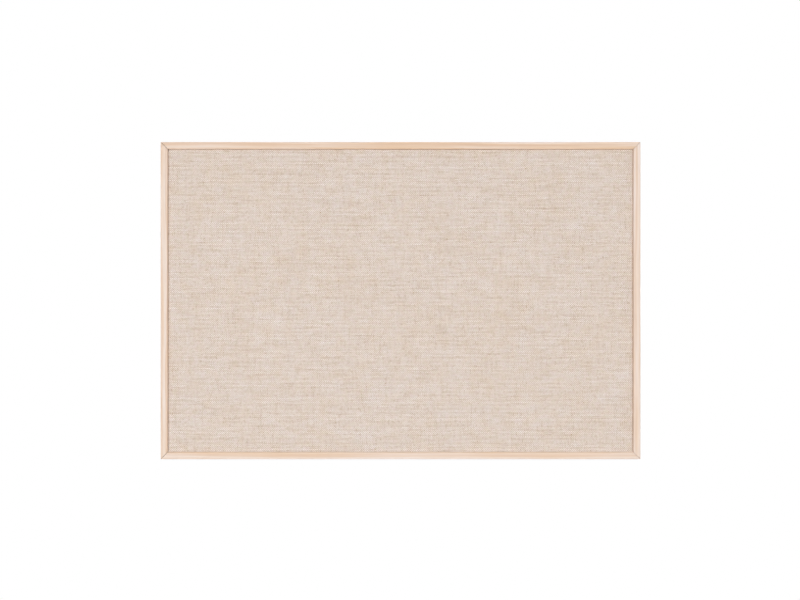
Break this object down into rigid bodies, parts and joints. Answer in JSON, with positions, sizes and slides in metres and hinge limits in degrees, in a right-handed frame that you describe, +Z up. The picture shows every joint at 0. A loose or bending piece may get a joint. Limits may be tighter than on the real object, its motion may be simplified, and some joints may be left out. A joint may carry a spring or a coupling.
{
  "type": "memo board",
  "caption": "Rectangular linen-covered pinboard in a slim mitred pine frame, with a stapled hardboard back and swinging D-ring hangers, for pinning notes on a wall.",
  "frame": {"origin": "middle of the top rail's back face, in the plane where the frame lies against the wall", "axes": "+X to the right seen from the front, +Y back to the wall (the linen faces -Y), +Z up"},
  "size_m": [0.59, 0.0198, 0.3899],
  "materials": {
    "pine": "planed pale pine, unvarnished",
    "linen": "coarse slubby plain weave",
    "softboard": "soft fibreboard",
    "hardboard": "smooth brown hardboard",
    "steel_wire": "galvanised",
    "zinc_plate": "bright zinc plate"
  },
  "bodies": {
    "board": {"top_rail": "pine", "right_rail": "pine", "bottom_rail": "pine", "left_rail": "pine", "top_staple_1": "steel_wire", "top_staple_2": "steel_wire", "top_staple_3": "steel_wire", "top_staple_4": "steel_wire", "right_staple_1": "steel_wire", "right_staple_2": "steel_wire", "right_staple_3": "steel_wire", "bottom_staple_1": "steel_wire", "bottom_staple_2": "steel_wire", "bottom_staple_3": "steel_wire", "bottom_staple_4": "steel_wire", "left_staple_1": "steel_wire", "left_staple_2": "steel_wire", "left_staple_3": "steel_wire", "top_right_v_nail": "zinc_plate", "bottom_right_v_nail": "zinc_plate", "bottom_left_v_nail": "zinc_plate", "top_left_v_nail": "zinc_plate", "softboard_core": "softboard", "linen_cover": "linen", "hardboard_back": "hardboard", "left_hanger_strap": "zinc_plate", "left_hanger_rivet": "zinc_plate", "right_hanger_strap": "zinc_plate", "right_hanger_rivet": "zinc_plate"},
    "left_ring": {"left_hanger_ring": "steel_wire"},
    "right_ring": {"right_hanger_ring": "steel_wire"}
  },
  "joints": [
    {"name": "left_ring_swing", "type": "hinge", "parent": "board", "child": "left_ring", "pos_m": [-0.2, -0.0026, -0.05775], "axis": [1, 0, 0], "range_deg": [0, 180]},
    {"name": "right_ring_swing", "type": "hinge", "parent": "board", "child": "right_ring", "pos_m": [0.2, -0.0026, -0.05775], "axis": [1, 0, 0], "range_deg": [0, 180]}
  ]
}
